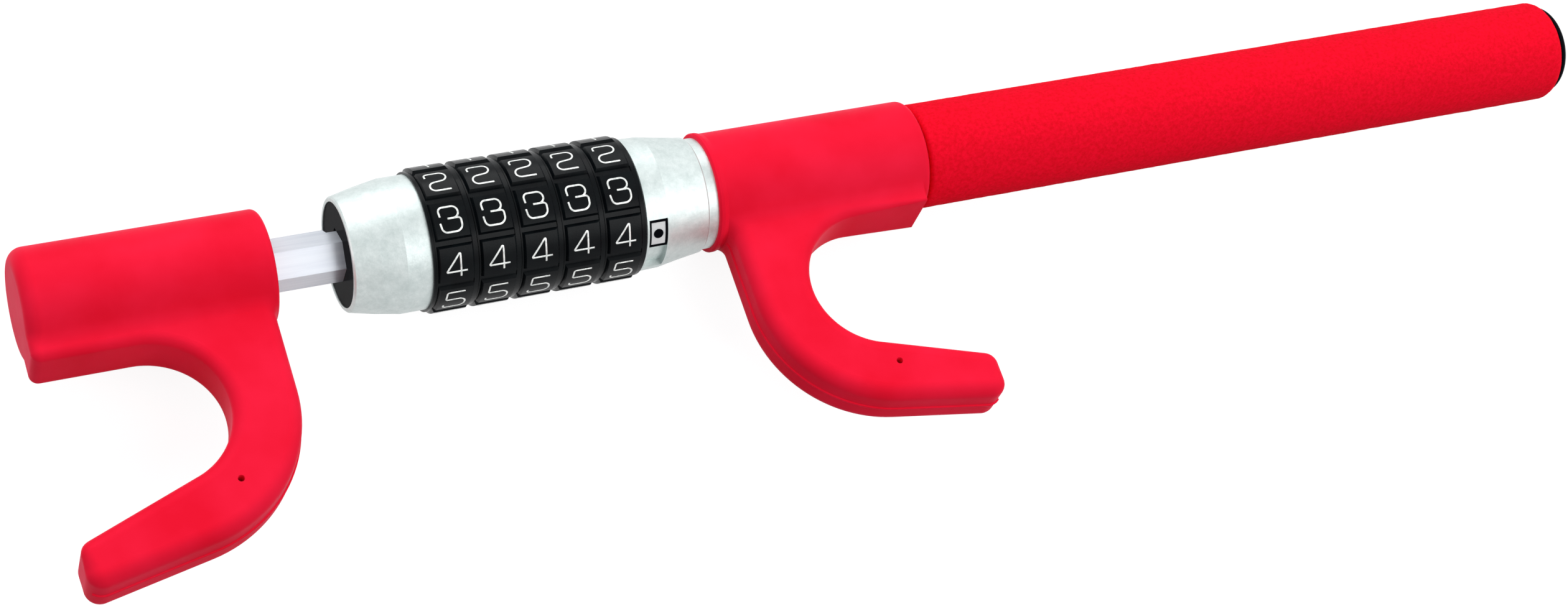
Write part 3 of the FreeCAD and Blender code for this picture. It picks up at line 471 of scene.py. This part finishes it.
def stretches_below(loop, height):
    """The runs of neighbouring points of a closed loop whose Y is below a height."""
    start = next(index for index, place in enumerate(loop) if place.y >= height)
    runs = [[]]
    for place in loop[start:] + loop[:start]:
        if place.y < height:
            runs[-1].append(place)
        elif runs[-1]:
            runs.append([])
    return [run for run in runs if run]


def make_seam(node, body, side, material):
    """The line that the mould's two halves leave on the outer wall of an arm.

    The side is 1 or -1: where that wall lies along X. The loop goes through the moulding's hollow too, so the
    longest stretch below the barrel is taken, which is the outer one.
    """
    arm = max(stretches_below(mid_section(node), SHAFT_Y - radius_of(node)), key=line_length)
    if side * (arm[0].x - arm[-1].x) < 0:
        arm.reverse()
    tip = max(range(len(arm)), key=lambda i: (arm[i] - arm[0]).length)
    curve = bpy.data.curves.new(f"{node}_seam", "CURVE")
    curve.dimensions = "3D"
    curve.bevel_depth = SEAM_RADIUS
    curve.bevel_resolution = 3
    curve.use_fill_caps = True
    line = curve.splines.new("POLY")
    line.points.add(tip - 1)
    for point, place in zip(line.points, arm):
        point.co = (*place, 1.0)
    add_piece(f"{node}_seam", curve, material, body)


# ---------------------------------------------------------------- foam grip

GRIP_TURNS = 160
GRIP_STEP = 1.3 * MM
BORE_GAP = 0.02 * MM
NEAR_ROLL = 1.4 * MM
NEAR_STEPS = 6
FAR_ROLL = 3.6 * MM
FAR_STEPS = 10

# The dimples leave out the points within BARE_DEPTH of the bore. DIMPLE_FRACTAL is the falloff,
# the lacunarity and the octaves of their noise.
BARE_DEPTH = 1.0 * MM
DIMPLE_DEPTH = 0.10 * MM
DIMPLE_SCALE = 420.0
DIMPLE_FRACTAL = (1.0, 2.0, 3)


def quarter_turn(steps):
    """The angles from 0 to 90 degrees in even steps."""
    return [math.radians(90.0 * step / steps) for step in range(steps + 1)]


def grip_profile(start, end, radius, bore):
    """(along, radius) round the sleeve's section, with a larger roll at its far end."""
    first = start + NEAR_ROLL
    last = end - FAR_ROLL
    outline = [(start, bore)]
    for angle in quarter_turn(NEAR_STEPS):
        outline.append((first - NEAR_ROLL * math.cos(angle), radius - NEAR_ROLL * (1 - math.sin(angle))))
    runs = int((last - first) / GRIP_STEP)
    for step in range(1, runs):
        outline.append((first + (last - first) * step / runs, radius))
    for angle in quarter_turn(FAR_STEPS):
        outline.append((last + FAR_ROLL * math.sin(angle), radius - FAR_ROLL * (1 - math.cos(angle))))
    outline.append((end, bore))
    return outline


def make_grip(material):
    """The foam sleeve, closed round its bore, with shallow dimples in its skin."""
    low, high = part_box("foam_grip")
    radius = radius_of("foam_grip")
    bore = radius_of("handle_tube") + BORE_GAP
    profile = grip_profile(low.x, high.x, radius, bore)
    mesh = bmesh.new()
    rings = []
    for along, reach in profile:
        ring = []
        for turn in range(GRIP_TURNS):
            angle = 2 * math.pi * turn / GRIP_TURNS
            place = on_shaft(along, reach, angle)
            if reach > bore + BARE_DEPTH:
                dent = noise.fractal(place * DIMPLE_SCALE, *DIMPLE_FRACTAL) * DIMPLE_DEPTH
                place = on_shaft(along, reach - DIMPLE_DEPTH + dent, angle)
            ring.append(mesh.verts.new(place))
        rings.append(ring)
    for first, second in zip(rings, rings[1:] + rings[:1]):
        for turn in range(GRIP_TURNS):
            following = (turn + 1) % GRIP_TURNS
            mesh.faces.new((first[turn], first[following], second[following], second[turn]))
    bmesh.ops.recalc_face_normals(mesh, faces=mesh.faces)
    data = bpy.data.meshes.new("foam_sleeve")
    mesh.to_mesh(data)
    mesh.free()
    data.shade_smooth()
    grip = add_piece("foam_sleeve", data, material, "lock_body")
    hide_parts("foam_grip")


# ---------------------------------------------------------------- light and ground

SEEING_RAYS = ("Is Camera Ray", "Is Glossy Ray", "Is Transmission Ray")
WORLD_COLOR = (0.92, 0.95, 1.0, 1.0)
WORLD_STRENGTH = 0.4
WHITE = (1.0, 1.0, 1.0, 1.0)
FLOOR_COLOR = (0.25, 0.25, 0.25, 1.0)
FLOOR_LIFT = 0.9
FLOOR_REACH = 4.0
FLOOR_DROP = 0.2 * MM


def light_path(tree, *outputs):
    """1 where a ray is one of the named kinds."""
    rays = tree.nodes.new("ShaderNodeLightPath")
    total = rays.outputs[outputs[0]]
    for name in outputs[1:]:
        add = tree.nodes.new("ShaderNodeMath")
        add.operation = "ADD"
        add.use_clamp = True
        tree.links.new(total, add.inputs[0])
        tree.links.new(rays.outputs[name], add.inputs[1])
        total = add.outputs[0]
    return total


def mix_shaders(tree, share, first, second):
    mix = tree.nodes.new("ShaderNodeMixShader")
    tree.links.new(share, mix.inputs[0])
    tree.links.new(first, mix.inputs[1])
    tree.links.new(second, mix.inputs[2])
    return mix.outputs[0]


def make_world():
    """White to the rays that see it, and a soft even light to the rest."""
    world = bpy.data.worlds.new("studio")
    world.use_nodes = True
    bpy.context.scene.world = world
    tree = world.node_tree
    plain = tree.nodes["Background"]
    plain.inputs["Color"].default_value = WORLD_COLOR
    plain.inputs["Strength"].default_value = WORLD_STRENGTH
    white = tree.nodes.new("ShaderNodeBackground")
    white.inputs["Color"].default_value = WHITE
    seen = mix_shaders(tree, light_path(tree, *SEEING_RAYS), plain.outputs[0], white.outputs[0])
    tree.links.new(seen, tree.nodes["World Output"].inputs[0])


def make_floor():
    """A pale floor under the part, lifted to white where it is seen, with the part's shadow left on it."""
    material = bpy.data.materials.new("floor")
    material.use_nodes = True
    tree = material.node_tree
    diffuse = tree.nodes.new("ShaderNodeBsdfDiffuse")
    diffuse.inputs["Color"].default_value = FLOOR_COLOR
    lift = tree.nodes.new("ShaderNodeEmission")
    lift.inputs["Strength"].default_value = FLOOR_LIFT
    add = tree.nodes.new("ShaderNodeAddShader")
    tree.links.new(diffuse.outputs[0], add.inputs[0])
    tree.links.new(lift.outputs[0], add.inputs[1])
    seen = mix_shaders(tree, light_path(tree, *SEEING_RAYS), diffuse.outputs[0], add.outputs[0])
    tree.links.new(seen, tree.nodes["Material Output"].inputs[0])
    tree.nodes.remove(tree.nodes["Principled BSDF"])
    mesh = bpy.data.meshes.new("floor")
    corners = [(x * FLOOR_REACH, y * FLOOR_REACH, 0) for x, y in ((-1, -1), (1, -1), (1, 1), (-1, 1))]
    mesh.from_pydata(corners, [], [(0, 1, 2, 3)])
    mesh.materials.append(material)
    floor = bpy.data.objects.new("floor", mesh)
    floor.location.z = cad_low.z - FLOOR_DROP
    bpy.context.scene.collection.objects.link(floor)


def make_lamp(name, place, target, size, watts):
    data = bpy.data.lights.new(name, "AREA")
    data.shape = "RECTANGLE"
    data.size, data.size_y = size
    data.energy = watts
    lamp = bpy.data.objects.new(name, data)
    lamp.location = place
    lamp.rotation_euler = (Vector(place) - Vector(target)).to_track_quat("Z", "Y").to_euler()
    bpy.context.scene.collection.objects.link(lamp)


def make_lights():
    middle = (0.0, 0.02, 0.0)
    make_lamp("key", (-0.3, 1.2, 0.9), middle, (1.6, 0.9), 14.5)
    make_lamp("fill", (0.6, -0.75, 0.9), middle, (0.9, 0.9), 7.5)
    make_lamp("side", (1.1, 0.2, 0.8), middle, (0.8, 0.8), 3.5)
    make_lamp("left", (-1.3, 0.0, 0.5), middle, (0.6, 0.6), 2.5)


def look_plain():
    scene = bpy.context.scene
    scene.view_settings.view_transform = "Standard"


# ---------------------------------------------------------------- assembly

make_camera()
materials = {make.__name__: make() for make in MAKERS}
dress_nodes(materials)
for dial in DIALS:
    make_numbers(dial, materials["number_silver"])
make_grip(materials["red_foam"])
make_seam("front_hook_cover", "sliding_hook", 1, materials["red_moulding"])
make_seam("rear_hook_cover", "lock_body", -1, materials["red_moulding"])
make_world()
make_floor()
make_lights()
look_plain()
